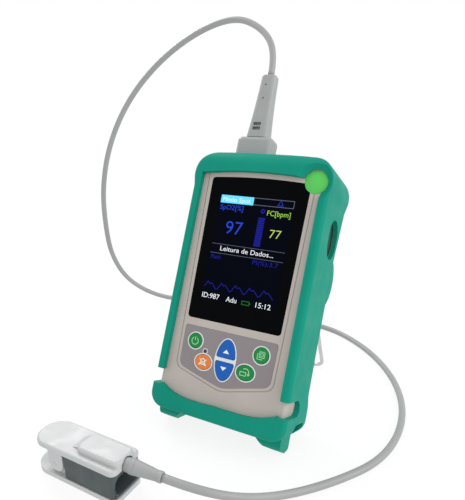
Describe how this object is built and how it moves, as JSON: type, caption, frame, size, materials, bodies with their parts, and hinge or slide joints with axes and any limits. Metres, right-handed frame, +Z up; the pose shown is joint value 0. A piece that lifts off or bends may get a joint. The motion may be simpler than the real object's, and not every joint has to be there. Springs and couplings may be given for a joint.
{
  "type": "handheld pulse oximeter",
  "caption": "Handheld pulse oximeter in a silicone boot, leaning on a fold-out wire stand, with colour display, sealed keypad, alarm lens and a finger clip on a cord.",
  "frame": {"origin": "On the table, at the bottom centre of the box of the unit, its stand and the finger clip, without the cord and plug", "axes": "+X to the right as seen from the front, +Y from the viewer towards the back (the display faces -Y and tilts up), +Z up"},
  "size_m": [0.2564, 0.2208, 0.2202],
  "materials": {
    "boot_green": "satin silicone",
    "housing_grey": "fine texture",
    "display_glass": "clear hard-coated window over a black border",
    "lcd": "glossy",
    "keypad_grey": "fine texture",
    "key_green": "satin",
    "key_orange": "satin",
    "key_blue": "satin",
    "ring_white": "satin",
    "lens_green": "moulded, translucent",
    "board_green": "solder mask",
    "component_black": "moulded",
    "steel": "plain wire and pressed sheet",
    "screw_steel": "zinc plated",
    "cell_jacket": "printed jacket",
    "socket_black": "moulded",
    "plug_grey": "overmoulded",
    "cord_grey": "satin jacket",
    "clip_grey": "fine texture",
    "clip_pad_dark": "soft satin",
    "optic_clear": "clear resin"
  },
  "bodies": {
    "unit": {"silicone_boot": "boot_green", "front_housing": "housing_grey", "rear_housing": "housing_grey", "housing_screws": "screw_steel", "display_window": "display_glass", "lcd_module": "lcd", "keypad_overlay": "keypad_grey", "key_rings": "ring_white", "status_led": "lens_green", "dome_sheet": "component_black", "alarm_lens": "lens_green", "alarm_led": "optic_clear", "main_board": "board_green", "board_components": "component_black", "spo2_module": "board_green", "speaker": "component_black", "sensor_socket": "socket_black", "battery_cells": "cell_jacket", "battery_contacts": "steel", "data_port": "socket_black", "plug_hood": "plug_grey", "plug_handle": "plug_grey", "plug_shell": "steel", "clip_bottom_shell": "clip_grey", "clip_bottom_pad": "clip_pad_dark", "clip_hinge_pin": "steel", "clip_spring": "steel", "clip_detector": "component_black", "sensor_cord": "cord_grey"},
    "stand": {"bail_stand": "steel"},
    "cover": {"battery_cover": "housing_grey"},
    "clip_top": {"clip_top_shell": "clip_grey", "clip_top_pad": "clip_pad_dark", "clip_emitter": "optic_clear", "clip_strain_relief": "plug_grey"},
    "key_power": {"key_power": "key_green"},
    "key_display": {"key_display": "key_green"},
    "key_alarm_mute": {"key_alarm_mute": "key_orange"},
    "key_menu": {"key_menu": "key_green"},
    "key_up": {"key_up": "key_blue"},
    "key_down": {"key_down": "key_blue"}
  },
  "joints": [
    {"name": "stand_fold", "type": "hinge", "parent": "unit", "child": "stand", "pos_m": [0.01528, 0.04267, 0.07449], "axis": [-1, 0, 0], "range_deg": [0, 50]},
    {"name": "battery_cover_slide", "type": "slide", "parent": "unit", "child": "cover", "axis": [0, -0.4179, -0.9085], "range_m": [0, 0.009]},
    {"name": "clip_open", "type": "hinge", "parent": "unit", "child": "clip_top", "pos_m": [-0.03786, -0.0701, 0.01], "axis": [-0.0279, -0.9996, 0], "range_deg": [0, 24], "stiffness_Nm_per_rad": 0.1, "springref_deg": -20.05},
    {"name": "key_power_press", "type": "slide", "parent": "unit", "child": "key_power", "axis": [0, 0.9085, -0.4179], "range_m": [0, 0.0006], "stiffness_N_per_m": 500, "springref_m": -0.0006},
    {"name": "key_display_press", "type": "slide", "parent": "unit", "child": "key_display", "axis": [0, 0.9085, -0.4179], "range_m": [0, 0.0006], "stiffness_N_per_m": 500, "springref_m": -0.0006},
    {"name": "key_alarm_mute_press", "type": "slide", "parent": "unit", "child": "key_alarm_mute", "axis": [0, 0.9085, -0.4179], "range_m": [0, 0.0006], "stiffness_N_per_m": 500, "springref_m": -0.0006},
    {"name": "key_menu_press", "type": "slide", "parent": "unit", "child": "key_menu", "axis": [0, 0.9085, -0.4179], "range_m": [0, 0.0006], "stiffness_N_per_m": 500, "springref_m": -0.0006},
    {"name": "key_up_press", "type": "slide", "parent": "unit", "child": "key_up", "axis": [0, 0.9085, -0.4179], "range_m": [0, 0.0006], "stiffness_N_per_m": 500, "springref_m": -0.0006},
    {"name": "key_down_press", "type": "slide", "parent": "unit", "child": "key_down", "axis": [0, 0.9085, -0.4179], "range_m": [0, 0.0006], "stiffness_N_per_m": 500, "springref_m": -0.0006}
  ]
}
